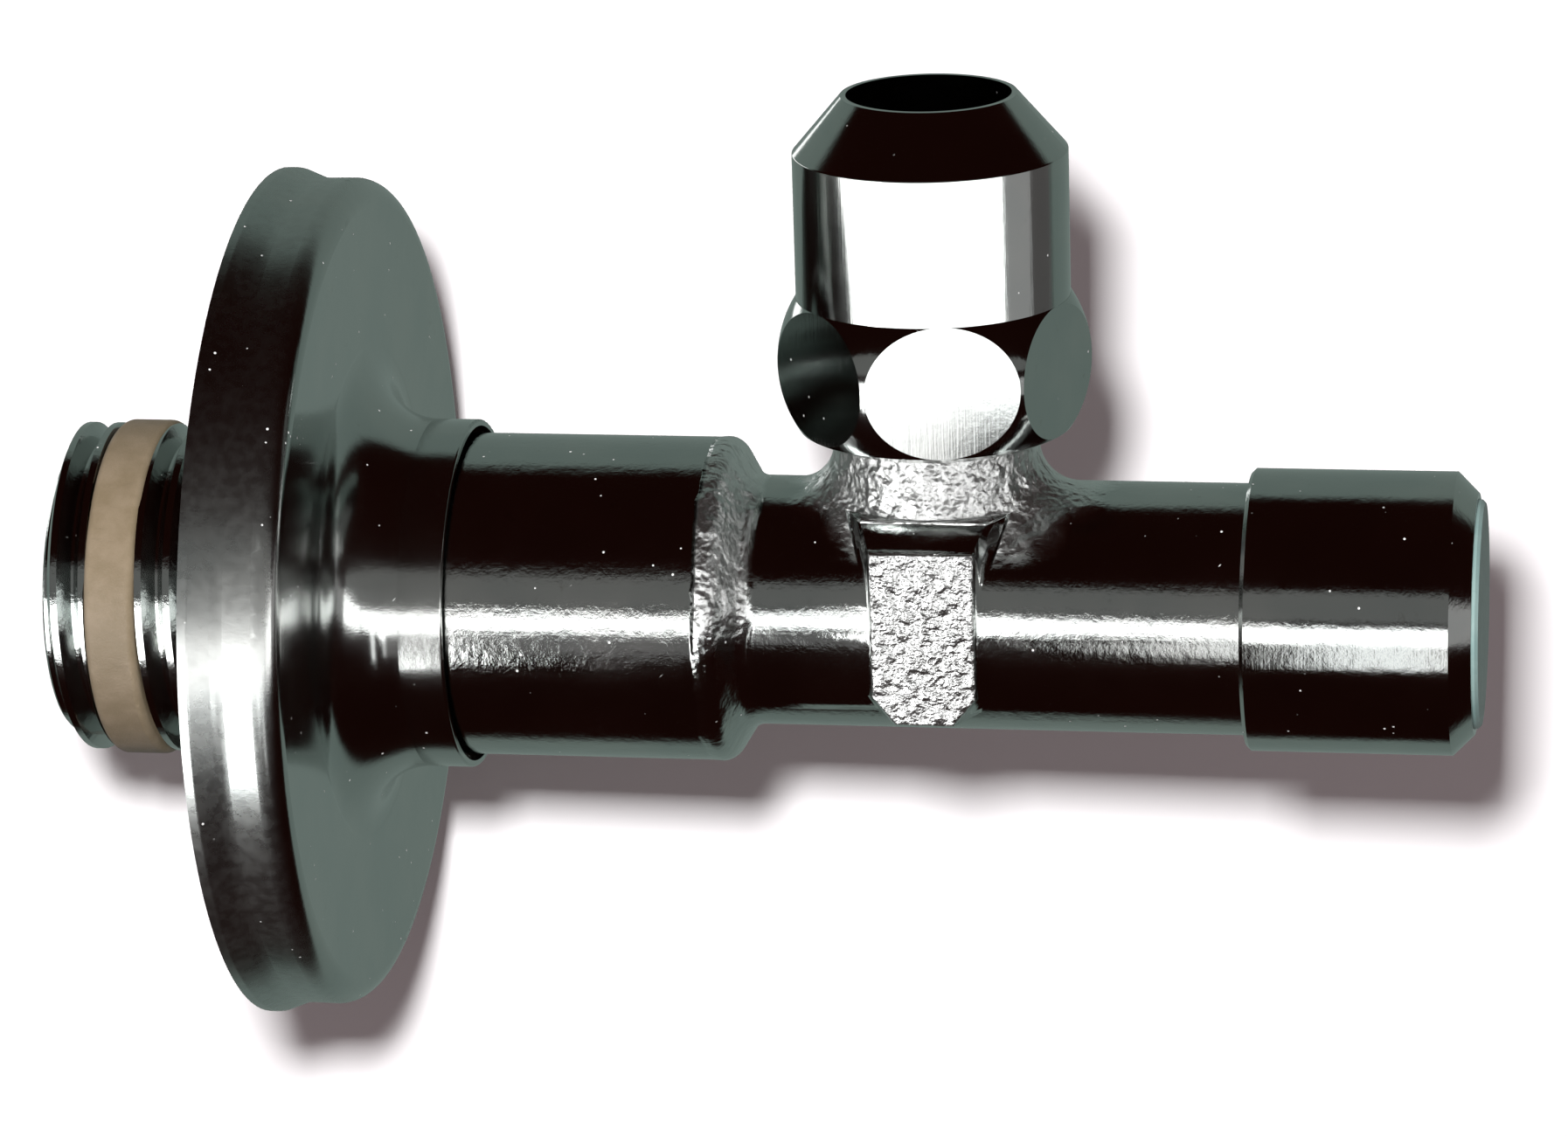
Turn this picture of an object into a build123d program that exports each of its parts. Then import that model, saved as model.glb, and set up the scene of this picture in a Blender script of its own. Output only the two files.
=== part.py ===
"""Angle valve with a G1/2 inlet thread, wall rosette, 10 mm compression outlet and turning handle.

Millimetres. The origin is on the inlet axis in the wall plane, +X runs out of the wall to the handle,
+Z runs up along the outlet and -Y is the side with the marking pad.
"""

import math
import os

from build123d import *

os.makedirs("parts", exist_ok=True)

# Clearances
SCREW_GAP = 0.05  # radial, between threads drawn as plain cylinders
RUNNING_GAP = 0.05  # radial, between pieces that turn or slide on each other
SEAT_GAP = 0.02  # between faces that are pressed together
SKIRT_GAP = 0.30  # radial, handle skirt over the body neck
ROSETTE_GAP = 0.17  # radial, rosette bore over the inlet thread
SEAL_GAP = 0.01  # seal rings to their grooves
CAP_GAP = 0.04  # radial, end cap in the handle
STROKE_GAP = 0.15  # left between pieces at the end of the stroke

# Inlet, G1/2
INLET_THREAD_R = 20.955 / 2
INLET_THREAD_DEPTH = 1.162
INLET_THREAD_PITCH = 1.814
INLET_THREAD_PHASE = 0.95  # last groove before the seal ring
THREAD_ROOT_SHARE = 0.10  # of the pitch
THREAD_FLANK_SHARE = 0.52  # of the depth, along the axis
INLET_LENGTH = 13.5
INLET_THREAD_RUNOUT_X = 2.0
INLET_BORE_R = 6.0
INLET_MOUTH = 0.6
SEAL_RING_SETBACK = 3.0
SEAL_RING_WIDTH = 3.2
SEAL_RING_STAND = 0.21
SEAL_RING_DEPTH = 1.38
SEAL_RING_EDGE = 0.45

# Barrel, shoulder and neck
BARREL_STEP = 0.2775  # barrel turned down from the thread crests
BARREL_END_X = 28.0
SHOULDER_BULGE = 0.10
SHOULDER_CREST = 1.1
SHOULDER_RUN = 2.6
SHOULDER_TOP_ROUND = 1.1
SHOULDER_FOOT_ROUND = 1.0
NECK_WALL = 1.35
NECK_REACH = 22.0

# Outlet branch, spigot and pipe socket
OUTLET_X = 42.1
BRANCH_STEP = 0.275  # branch narrower than the thread crests
BRANCH_BLEND = 2.8
SPIGOT_Z = 11.9
SPIGOT_LENGTH = 7.7
OUTLET_THREAD_R = 13.35 / 2
OUTLET_THREAD_DEPTH = 0.6
OUTLET_THREAD_PITCH = 1.0
PIPE_SOCKET_WALL = 1.625
PIPE_STOP = 1.05
PIPE_SOCKET_DEPTH = 6.6
OLIVE_SEAT_DEPTH = 1.05

# Marking pad on the front of the neck
PAD_STAND = 0.40
PAD_HALF_WIDTH = 3.15
PAD_TOP_Z = 5.65
PAD_FOOT_Z = -5.5
PAD_SLOPE_RISE = 1.6
PAD_FOOT_SLOPE = 0.7
PAD_DEPTH = 4.7
PAD_CORNER_WIDTH = 1.5
PAD_CORNER_HEIGHT = 1.9
PAD_EDGE_ROUND = 0.30
PAD_DRAFT = 25.0  # degrees, the sides widen towards the root

# Valve seat and chamber
SEAT_TO_OUTLET = 4.8
SEAT_ORIFICE_SHARE = 0.8  # of the seat washer
SEAT_ORIFICE_LENGTH = 2.9
SEAT_CONE_LENGTH = 1.8
SEAT_LIP_WIDTH = 0.8
SEAT_LIP_HEIGHT = 0.7
SEAT_LIP_DRAFT = 0.3
CHAMBER_STEP = 0.3

# Rosette, pressed sheet
ROSETTE_LIP_R = 26.9
ROSETTE_LIP_WIDTH = 0.6
ROSETTE_LIP_RING = 0.95
ROSETTE_LIP_ROUND = 0.4
ROSETTE_FLARE_X = 2.2
ROSETTE_FLARE_ROUND = 2.0
ROSETTE_FLARE = 0.65
ROSETTE_BAND_DRAFT = 0.05
ROSETTE_FACE_X = 5.9
ROSETTE_RIM_ROUND = 1.5
ROSETTE_DISH = 0.35
ROSETTE_DISH_R = 15.8
ROSETTE_COLLAR_ROUND = 4.2
ROSETTE_COLLAR_END_X = 12.5
ROSETTE_SHEET = 0.42
ROSETTE_COLLAR_SHEET = 0.40
ROSETTE_EDGE_ROUND = 0.15

# Compression nut and compression ring
NUT_FOOT_Z = 11.3
NUT_FOOT_CHAMFER = 1.0
NUT_FOOT_HEIGHT = 0.5
NUT_HEX_HEIGHT = 8.25
NUT_WALL = 1.825
NUT_TURN = 11.0  # degrees, the front flat turned from -Y towards +X
NUT_BARREL_MARGIN = 0.02
NUT_BARREL_BULGE = 1.23
NUT_ROUND_HEIGHT = 9.1
NUT_CONE_HEIGHT = 3.55
NUT_TOP_RING = 0.35
NUT_EDGE_ROUND = 0.15
NUT_HOLE_GAP = 0.05
NUT_THREAD_ABOVE = 0.8
NUT_CHAMBER_STEP = 0.325
NUT_CHAMBER_HEIGHT = 2.2
OLIVE_STEP = 0.675
OLIVE_BORE_GAP = 0.03
OLIVE_END_WALL = 0.32

# Bonnet and its gasket
BONNET_NOSE_BEHIND_BORE = 2.0
BONNET_NOSE_GAP = 0.10
BONNET_NOSE_LENGTH = 3.0
BONNET_COLLAR_INSET = 0.45
GASKET_THICKNESS = 0.6
BONNET_COLLAR_WIDTH = 1.4
BONNET_HEX_INSET = 0.47
BONNET_HEX_WIDTH = 1.5
GUIDE_WALL = 0.9
GUIDE_TO_BODY_END = 4.1

# Spindle and its seals
SPINDLE_PITCH = 1.5
HANDLE_TURNS = 2.5
SPINDLE_THREAD_R = 2.75
SPINDLE_COLLAR_GAP = 0.2
STEM_SHARE = 0.814  # of the collar
SPINDLE_COLLAR_WIDTH = 1.4
THRUST_WASHER = 0.6
THRUST_WASHER_STAND = 0.05
O_RING_SECTION = 0.86
O_RING_SEAT = 0.9
O_RING_GROOVE_WIDTH = 1.3
O_RING_FIRST = 1.7
O_RING_SPACING = 2.6
CIRCLIP_THICKNESS = 0.5
CIRCLIP_WALL = 1.9
CIRCLIP_SEAT = 0.8
CIRCLIP_GAP_ANGLE = 70.0
SPLINE_SHARE = 0.857  # of the stem bore
SPLINE_ROOT_SHARE = 0.9  # of the tips
SPLINE_TEETH = 20
SPINDLE_END_INSET = 0.3
SPINDLE_TAP_SHARE = 0.65  # of the spline roots
SPINDLE_TAP_DEPTH = 6.0

# Disc carrier, seat washer, plate and screw, drawn closed
CARRIER_SHARE = 0.903  # of the chamber
CARRIER_WALL = 0.55
CARRIER_RIM_DEPTH = 1.5
CARRIER_BACK = 1.55
CARRIER_FLOOR = 1.5
SEAT_WASHER_THICKNESS = 2.2
WASHER_SCREW_SHARE = 0.3625  # of the seat orifice
WASHER_SCREW_PLAY = 0.15
WASHER_SCREW_FLOOR = 0.5
WASHER_SCREW_HEAD = 1.4
PLATE_SHARE = 0.8  # of the seat orifice
WASHER_HEAD_SHARE = 0.81  # of the plate
PLATE_THICKNESS = 0.5

# Handle, screw, lock washer and cap
HANDLE_R = 8.8
HANDLE_WALL = 0.65
HANDLE_OVERLAP = 2.5
HANDLE_CHAMFER = 1.3
HANDLE_EDGE = 0.25
HANDLE_WEB_GAP = 0.85
HANDLE_WEB = 3.8
HANDLE_RECESS = 2.8
CAP_LEDGE = 0.4
CAP_STAND = 0.4
CAP_DISC = 0.8
CAP_RIM = 0.7
CAP_RIM_GAP = 0.5
CAP_EDGE = 0.2
LOCK_WASHER_WALL = 1.5
LOCK_WASHER_THICKNESS = 0.7
LOCK_WASHER_GAP_ANGLE = 14.0
HANDLE_SCREW_TIP_GAP = 0.3
HANDLE_SCREW_HEAD_WALL = 1.5
HANDLE_SCREW_HEAD = 1.15
SLOT_WIDTH = 0.9
SLOT_DEPTH = 0.6

OVERCUT = 1.0  # cutting solids run this far past the material


def outline(corners):
    """A closed face through corners (u, v) or (u, v, radius), where a radius rounds the corner."""
    pieces = []
    count = len(corners)
    entries, exits, middles = [], [], []
    for i in range(count):
        u, v = corners[i][0], corners[i][1]
        radius = corners[i][2] if len(corners[i]) > 2 else 0.0
        if radius <= 0.0:
            entries.append((u, v))
            exits.append((u, v))
            middles.append(None)
            continue
        before, after = corners[i - 1], corners[(i + 1) % count]
        in_u, in_v = before[0] - u, before[1] - v
        out_u, out_v = after[0] - u, after[1] - v
        in_length, out_length = math.hypot(in_u, in_v), math.hypot(out_u, out_v)
        in_u, in_v = in_u / in_length, in_v / in_length
        out_u, out_v = out_u / out_length, out_v / out_length
        half = math.acos(max(-1.0, min(1.0, in_u * out_u + in_v * out_v))) / 2
        reach = radius / math.tan(half)
        mid_u, mid_v = in_u + out_u, in_v + out_v
        mid_length = math.hypot(mid_u, mid_v)
        to_arc = radius / math.sin(half) - radius
        entries.append((u + in_u * reach, v + in_v * reach))
        exits.append((u + out_u * reach, v + out_v * reach))
        middles.append((u + mid_u / mid_length * to_arc, v + mid_v / mid_length * to_arc))
    for i in range(count):
        following = (i + 1) % count
        if middles[i] is not None:
            pieces.append(ThreePointArc(entries[i], middles[i], exits[i]))
        start, end = exits[i], entries[following]
        if math.hypot(end[0] - start[0], end[1] - start[1]) > 1e-6:
            pieces.append(Line(start, end))
    return make_face(pieces)


def turned_x(corners):
    """A solid turned about the inlet axis from (x, radius) corners."""
    return revolve(outline(corners), axis=Axis.X)


def turned_z(corners):
    """A solid turned about the outlet axis from (radius, z) corners."""
    return Pos(OUTLET_X, 0, 0) * revolve(Plane.XZ * outline(corners), axis=Axis.Z)


def hexagon_x(flats, x0, x1):
    """A hexagon bar along the inlet axis with a flat facing up."""
    profile = Plane.YZ * RegularPolygon(flats / 2, 6, major_radius=False, rotation=30)
    return Pos(x0, 0, 0) * extrude(profile, x1 - x0)


def ring_x(inner, outer, x0, x1):
    """A flat ring about the inlet axis."""
    return turned_x([(x0, inner), (x1, inner), (x1, outer), (x0, outer)])


def wedge_x(angle, reach, x0, x1):
    """A wedge from the inlet axis upwards, used to split a spring ring."""
    side = reach * math.tan(math.radians(angle / 2))
    profile = Plane.YZ * make_face(Polyline((0, 0), (side, reach), (-side, reach), close=True))
    return Pos(x0, 0, 0) * extrude(profile, x1 - x0)


def spline_x(tip, root, x0, x1):
    """A toothed bar along the inlet axis."""
    points = []
    for i in range(SPLINE_TEETH):
        for share, radius in ((0.0, tip), (0.5, root)):
            angle = 2 * math.pi * (i + share) / SPLINE_TEETH
            points.append((radius * math.cos(angle), radius * math.sin(angle)))
    return Pos(x0, 0, 0) * extrude(Plane.YZ * make_face(Polyline(*points, close=True)), x1 - x0)


def grooved(low, high, first, crest, depth, pitch):
    """Corners (place, radius) of thread grooves cut between two places, counted from the first."""
    root_half = THREAD_ROOT_SHARE * pitch / 2
    half = root_half + THREAD_FLANK_SHARE * depth
    corners = []
    at = first
    while at + half < high:
        if at - half > low:
            corners += [
                (at - half, crest),
                (at - root_half, crest - depth),
                (at + root_half, crest - depth),
                (at + half, crest),
            ]
        at += pitch
    return corners


def save(shape, node):
    """Write one node."""
    shape.label = node
    export_step(shape, "parts/" + node + ".step")


# Radii, from the handle inwards and from the inlet thread
barrel_r = INLET_THREAD_R - BARREL_STEP
skirt_r = HANDLE_R - HANDLE_WALL
neck_r = skirt_r - SKIRT_GAP
branch_r = OUTLET_THREAD_R - BRANCH_STEP
bonnet_bore_r = neck_r - NECK_WALL
chamber_r = bonnet_bore_r - CHAMBER_STEP
bonnet_collar_r = neck_r - BONNET_COLLAR_INSET
hexagon_share = math.cos(math.pi / 6)
bonnet_hex_flats = 2 * hexagon_share * (bonnet_collar_r - BONNET_HEX_INSET)
guide_flats = 2 * hexagon_share * (chamber_r - BONNET_NOSE_GAP - GUIDE_WALL)
carrier_head_r = CARRIER_SHARE * chamber_r
cup_r = carrier_head_r - CARRIER_WALL
seat_washer_r = cup_r - RUNNING_GAP
seat_orifice_r = SEAT_ORIFICE_SHARE * seat_washer_r
seat_lip_r = seat_orifice_r + SEAT_LIP_WIDTH
plate_r = PLATE_SHARE * seat_orifice_r
washer_screw_r = WASHER_SCREW_SHARE * seat_orifice_r
washer_head_r = WASHER_HEAD_SHARE * plate_r
spindle_collar_r = guide_flats / 2 - SPINDLE_COLLAR_GAP
stem_bore_r = STEM_SHARE * spindle_collar_r
o_ring_groove_r = stem_bore_r - O_RING_SEAT
circlip_groove_r = stem_bore_r - CIRCLIP_SEAT
spline_tip_r = SPLINE_SHARE * stem_bore_r
spline_root_r = SPLINE_ROOT_SHARE * spline_tip_r
spindle_tap_r = SPINDLE_TAP_SHARE * spline_root_r
cap_r = HANDLE_R - HANDLE_CHAMFER - CAP_LEDGE
pipe_socket_r = OUTLET_THREAD_R - PIPE_SOCKET_WALL
outlet_bore_r = pipe_socket_r - PIPE_STOP
nut_flats = 2 * (OUTLET_THREAD_R + NUT_WALL)
nut_hole_r = pipe_socket_r + NUT_HOLE_GAP
nut_chamber_r = OUTLET_THREAD_R - NUT_CHAMBER_STEP
olive_r = OUTLET_THREAD_R - OLIVE_STEP

# Places along the inlet axis, from the wall to the handle
inlet_end_x = -INLET_LENGTH
seal_ring_x0 = inlet_end_x + SEAL_RING_SETBACK
seal_ring_x1 = seal_ring_x0 + SEAL_RING_WIDTH
seal_ring_root_r = INLET_THREAD_R - SEAL_RING_DEPTH
shoulder_top_x = BARREL_END_X + SHOULDER_CREST
shoulder_foot_x = BARREL_END_X + SHOULDER_RUN
stroke = SPINDLE_PITCH * HANDLE_TURNS
seat_lip_x = OUTLET_X - SEAT_TO_OUTLET
seat_floor_x = seat_lip_x - SEAT_LIP_HEIGHT
seat_orifice_x = seat_lip_x - SEAT_ORIFICE_LENGTH
body_end_x = OUTLET_X + NECK_REACH
bonnet_nose_x = OUTLET_X + outlet_bore_r + BONNET_NOSE_BEHIND_BORE
chamber_end_x = bonnet_nose_x + BONNET_NOSE_LENGTH
guide_end_x = body_end_x - GUIDE_TO_BODY_END
gasket_x1 = body_end_x + GASKET_THICKNESS
collar_x1 = gasket_x1 + BONNET_COLLAR_WIDTH
bonnet_front_x = collar_x1 + BONNET_HEX_WIDTH
circlip_x0 = bonnet_front_x + RUNNING_GAP
circlip_x1 = circlip_x0 + CIRCLIP_THICKNESS
web_x0 = circlip_x1 + HANDLE_WEB_GAP
web_x1 = web_x0 + HANDLE_WEB
handle_x0 = body_end_x - HANDLE_OVERLAP
handle_end_x = web_x1 + HANDLE_RECESS
cap_face_x = handle_end_x + CAP_STAND
spindle_end_x = web_x1 - SPINDLE_END_INSET
spindle_tap_x = spindle_end_x - SPINDLE_TAP_DEPTH
spindle_collar_x1 = guide_end_x - THRUST_WASHER
spindle_collar_x0 = spindle_collar_x1 - SPINDLE_COLLAR_WIDTH
o_ring_inner_x = guide_end_x + O_RING_FIRST
o_ring_outer_x = o_ring_inner_x + O_RING_SPACING
washer_x0 = seat_lip_x + RUNNING_GAP
washer_x1 = washer_x0 + SEAT_WASHER_THICKNESS
carrier_back_x = washer_x1 + CARRIER_BACK
carrier_bore_x = carrier_back_x + CARRIER_FLOOR
carrier_end_x = spindle_collar_x0 - stroke - STROKE_GAP
spindle_tip_x = carrier_bore_x + stroke + STROKE_GAP

# Heights along the outlet axis
spigot_top_z = SPIGOT_Z + SPIGOT_LENGTH
olive_seat_r = pipe_socket_r + OLIVE_SEAT_DEPTH
pipe_stop_z = spigot_top_z - PIPE_SOCKET_DEPTH
nut_hex_z0 = NUT_FOOT_Z + NUT_FOOT_HEIGHT
nut_hex_z1 = nut_hex_z0 + NUT_HEX_HEIGHT
nut_cone_z = nut_hex_z1 + NUT_ROUND_HEIGHT
nut_top_z = nut_cone_z + NUT_CONE_HEIGHT
nut_round_r = nut_flats / 2
nut_barrel_end_r = nut_round_r + NUT_BARREL_MARGIN
nut_thread_r = OUTLET_THREAD_R + RUNNING_GAP
nut_thread_top_z = spigot_top_z + NUT_THREAD_ABOVE
nut_chamber_z1 = nut_thread_top_z + NUT_CHAMBER_HEIGHT
nut_cone_top_z = nut_chamber_z1 + nut_chamber_r - nut_hole_r

# Valve body: neck and branch first, because their blend is one closed edge
neck = Pos(shoulder_foot_x, 0, 0) * extrude(Plane.YZ * Circle(neck_r), body_end_x - shoulder_foot_x)
branch = Pos(OUTLET_X, 0, 0) * extrude(Circle(branch_r), SPIGOT_Z)
forging = neck + branch
blend_edges = forging.edges().filter_by(GeomType.CIRCLE, reverse=True)
blend_edges = blend_edges.filter_by(GeomType.LINE, reverse=True)
forging = fillet(blend_edges, BRANCH_BLEND)

pad_face = neck_r + PAD_STAND
pad_root = pad_face - PAD_DEPTH
pad_crown_z = PAD_TOP_Z + PAD_SLOPE_RISE
pad_side = outline([
    (-pad_root, PAD_FOOT_Z + PAD_FOOT_SLOPE),
    (-pad_face, PAD_FOOT_Z),
    (-pad_face, PAD_TOP_Z),
    (-pad_face + PAD_SLOPE_RISE, pad_crown_z),
    (-pad_root, pad_crown_z),
])
pad_front = outline([
    (-PAD_HALF_WIDTH, -pad_crown_z),
    (-PAD_HALF_WIDTH, -PAD_FOOT_Z - PAD_CORNER_HEIGHT),
    (-PAD_HALF_WIDTH + PAD_CORNER_WIDTH, -PAD_FOOT_Z),
    (PAD_HALF_WIDTH - PAD_CORNER_WIDTH, -PAD_FOOT_Z),
    (PAD_HALF_WIDTH, -PAD_FOOT_Z - PAD_CORNER_HEIGHT),
    (PAD_HALF_WIDTH, -pad_crown_z),
])
pad_plane = Plane((OUTLET_X, -pad_face, 0), x_dir=(1, 0, 0), z_dir=(0, 1, 0))
pad = extrude(pad_plane * pad_front, PAD_DEPTH, taper=-PAD_DRAFT)
pad_reach = PAD_HALF_WIDTH + PAD_DEPTH
pad = pad & Pos(OUTLET_X - pad_reach, 0, 0) * extrude(Plane.YZ * pad_side, 2 * pad_reach)
pad_rim = pad.faces().sort_by(Axis.Y)[0].edges()
pad = fillet(pad_rim, PAD_EDGE_ROUND)

inlet_thread_x0 = inlet_end_x + INLET_THREAD_DEPTH
first_groove_x = seal_ring_x0 - INLET_THREAD_PHASE


def inlet_grooves(low, high):
    """The inlet thread between two places, as grooves at its pitch."""
    return grooved(low, high, first_groove_x, INLET_THREAD_R, INLET_THREAD_DEPTH, INLET_THREAD_PITCH)


barrel = turned_x([
    (inlet_end_x, 0),
    (inlet_end_x, INLET_THREAD_R - INLET_THREAD_DEPTH),
    (inlet_thread_x0, INLET_THREAD_R),
    *inlet_grooves(inlet_thread_x0, seal_ring_x0 - SEAT_GAP),
    (seal_ring_x0 - SEAT_GAP, INLET_THREAD_R),
    (seal_ring_x0 - SEAT_GAP, seal_ring_root_r),
    (seal_ring_x1 + SEAT_GAP, seal_ring_root_r),
    (seal_ring_x1 + SEAT_GAP, INLET_THREAD_R),
    *inlet_grooves(seal_ring_x1 + SEAT_GAP, INLET_THREAD_RUNOUT_X),
    (INLET_THREAD_RUNOUT_X, INLET_THREAD_R),
    (INLET_THREAD_RUNOUT_X + INLET_THREAD_R - barrel_r, barrel_r),
    (BARREL_END_X, barrel_r),
    (shoulder_top_x, barrel_r + SHOULDER_BULGE, SHOULDER_TOP_ROUND),
    (shoulder_foot_x, neck_r, SHOULDER_FOOT_ROUND),
    (shoulder_foot_x + 2 * SHOULDER_FOOT_ROUND, neck_r),
    (shoulder_foot_x + 2 * SHOULDER_FOOT_ROUND, 0),
])
spigot_step = BRANCH_STEP / 2
spigot_chamfer = (OUTLET_THREAD_R - olive_seat_r) / 2
outlet_grooves = [
    (radius, z)
    for z, radius in grooved(
        SPIGOT_Z + spigot_step,
        spigot_top_z - spigot_chamfer,
        SPIGOT_Z + OUTLET_THREAD_PITCH,
        OUTLET_THREAD_R,
        OUTLET_THREAD_DEPTH,
        OUTLET_THREAD_PITCH,
    )
]
spigot = turned_z([
    (0, SPIGOT_Z - spigot_step),
    (branch_r, SPIGOT_Z - spigot_step),
    (OUTLET_THREAD_R, SPIGOT_Z + spigot_step),
    *outlet_grooves,
    (OUTLET_THREAD_R, spigot_top_z - spigot_chamfer),
    (olive_seat_r + spigot_chamfer, spigot_top_z),
    (0, spigot_top_z),
])
inlet_bore = turned_x([
    (inlet_end_x - OVERCUT, 0),
    (inlet_end_x - OVERCUT, INLET_BORE_R + INLET_MOUTH + OVERCUT),
    (inlet_end_x + INLET_MOUTH, INLET_BORE_R),
    (seat_orifice_x - SEAT_CONE_LENGTH, INLET_BORE_R),
    (seat_orifice_x, seat_orifice_r),
    (seat_lip_x + OVERCUT, seat_orifice_r),
    (seat_lip_x + OVERCUT, 0),
])
chamber = turned_x([
    (seat_lip_x, 0),
    (seat_lip_x, seat_lip_r),
    (seat_floor_x, seat_lip_r + SEAT_LIP_DRAFT),
    (seat_floor_x, chamber_r),
    (chamber_end_x, chamber_r),
    (chamber_end_x, bonnet_bore_r),
    (body_end_x + OVERCUT, bonnet_bore_r),
    (body_end_x + OVERCUT, 0),
])
outlet_bore = turned_z([
    (0, 0),
    (outlet_bore_r, 0),
    (outlet_bore_r, pipe_stop_z),
    (pipe_socket_r, pipe_stop_z),
    (pipe_socket_r, spigot_top_z - OLIVE_SEAT_DEPTH),
    (olive_seat_r + OVERCUT, spigot_top_z + OVERCUT),
    (0, spigot_top_z + OVERCUT),
])
valve_body = forging + pad
valve_body = valve_body + barrel + spigot - inlet_bore - chamber - outlet_bore
save(valve_body, "valve_body")

# Seal ring of the inlet thread
seal_ring_r = INLET_THREAD_R + SEAL_RING_STAND
seal_ring = turned_x([
    (seal_ring_x0, seal_ring_root_r + SEAL_GAP),
    (seal_ring_x1, seal_ring_root_r + SEAL_GAP),
    (seal_ring_x1, seal_ring_r, SEAL_RING_EDGE),
    (seal_ring_x0, seal_ring_r, SEAL_RING_EDGE),
])
save(seal_ring, "inlet_seal_ring")

# Rosette
rosette_bore_r = INLET_THREAD_R + ROSETTE_GAP
rosette_collar_r = rosette_bore_r + ROSETTE_COLLAR_SHEET
rosette_dish_x = ROSETTE_FACE_X - ROSETTE_DISH
rosette_root_x = rosette_dish_x - ROSETTE_DISH
rosette_band_r = ROSETTE_LIP_R - ROSETTE_FLARE
rosette_rim_r = rosette_band_r + ROSETTE_BAND_DRAFT
rosette = turned_x([
    (0, ROSETTE_LIP_R - ROSETTE_LIP_RING),
    (0, ROSETTE_LIP_R),
    (ROSETTE_LIP_WIDTH, ROSETTE_LIP_R, ROSETTE_LIP_ROUND),
    (ROSETTE_FLARE_X, rosette_band_r, ROSETTE_FLARE_ROUND),
    (ROSETTE_FACE_X, rosette_rim_r, ROSETTE_RIM_ROUND),
    (rosette_dish_x, ROSETTE_DISH_R),
    (rosette_root_x, rosette_collar_r, ROSETTE_COLLAR_ROUND),
    (ROSETTE_COLLAR_END_X, rosette_collar_r, ROSETTE_EDGE_ROUND),
    (ROSETTE_COLLAR_END_X, rosette_bore_r),
    (rosette_root_x - ROSETTE_SHEET, rosette_bore_r, ROSETTE_COLLAR_ROUND + ROSETTE_COLLAR_SHEET),
    (rosette_dish_x - ROSETTE_SHEET, ROSETTE_DISH_R),
    (
        ROSETTE_FACE_X - ROSETTE_SHEET,
        rosette_rim_r - ROSETTE_SHEET,
        ROSETTE_RIM_ROUND - ROSETTE_SHEET,
    ),
])
save(rosette, "rosette")

# Compression nut: a turned barrel with six milled flats
nut_body = outline([
    (0, NUT_FOOT_Z),
    (nut_barrel_end_r - NUT_FOOT_CHAMFER, NUT_FOOT_Z),
    (nut_barrel_end_r, nut_hex_z0),
    (nut_barrel_end_r, nut_hex_z1),
    (nut_round_r, nut_hex_z1),
    (nut_round_r, nut_cone_z, NUT_EDGE_ROUND),
    (nut_hole_r + NUT_TOP_RING, nut_top_z),
    (0, nut_top_z),
])
nut_bulge = make_face([
    ThreePointArc(
        (nut_barrel_end_r, nut_hex_z0),
        (nut_barrel_end_r + NUT_BARREL_BULGE, (nut_hex_z0 + nut_hex_z1) / 2),
        (nut_barrel_end_r, nut_hex_z1),
    ),
    Line((nut_barrel_end_r, nut_hex_z1), (nut_barrel_end_r, nut_hex_z0)),
])
nut_profile = nut_body + nut_bulge
nut = Pos(OUTLET_X, 0, 0) * revolve(Plane.XZ * nut_profile, axis=Axis.Z)
nut_prism = RegularPolygon(nut_flats / 2, 6, major_radius=False, rotation=NUT_TURN)
nut_prism = Pos(OUTLET_X, 0, NUT_FOOT_Z) * extrude(nut_prism, nut_hex_z1 - NUT_FOOT_Z)
nut_above = Pos(OUTLET_X, 0, nut_hex_z1) * extrude(Circle(nut_flats), nut_top_z - nut_hex_z1)
nut = nut & (nut_prism + nut_above)
nut_bore = turned_z([
    (0, NUT_FOOT_Z - OVERCUT),
    (nut_thread_r, NUT_FOOT_Z - OVERCUT),
    (nut_thread_r, nut_thread_top_z),
    (nut_chamber_r, nut_thread_top_z),
    (nut_chamber_r, nut_chamber_z1),
    (nut_hole_r, nut_cone_top_z),
    (nut_hole_r, nut_top_z + OVERCUT),
    (0, nut_top_z + OVERCUT),
])
save(nut - nut_bore, "compression_nut")

# Compression ring between the cone of the spigot and the cone of the nut
olive_slope_gap = SEAT_GAP * math.sqrt(2)
olive_bore_r = pipe_socket_r + OLIVE_BORE_GAP
olive_end_r = olive_bore_r + OLIVE_END_WALL
olive_chamfer = olive_r - olive_end_r
olive_z0 = spigot_top_z - (olive_seat_r - olive_end_r) + olive_slope_gap
olive_z1 = nut_cone_top_z - (olive_end_r - nut_hole_r) - olive_slope_gap
olive = turned_z([
    (olive_bore_r, olive_z0),
    (olive_end_r, olive_z0),
    (olive_r, olive_z0 + olive_chamfer),
    (olive_r, olive_z1 - olive_chamfer),
    (olive_end_r, olive_z1),
    (olive_bore_r, olive_z1),
])
save(olive, "compression_ring")

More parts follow.
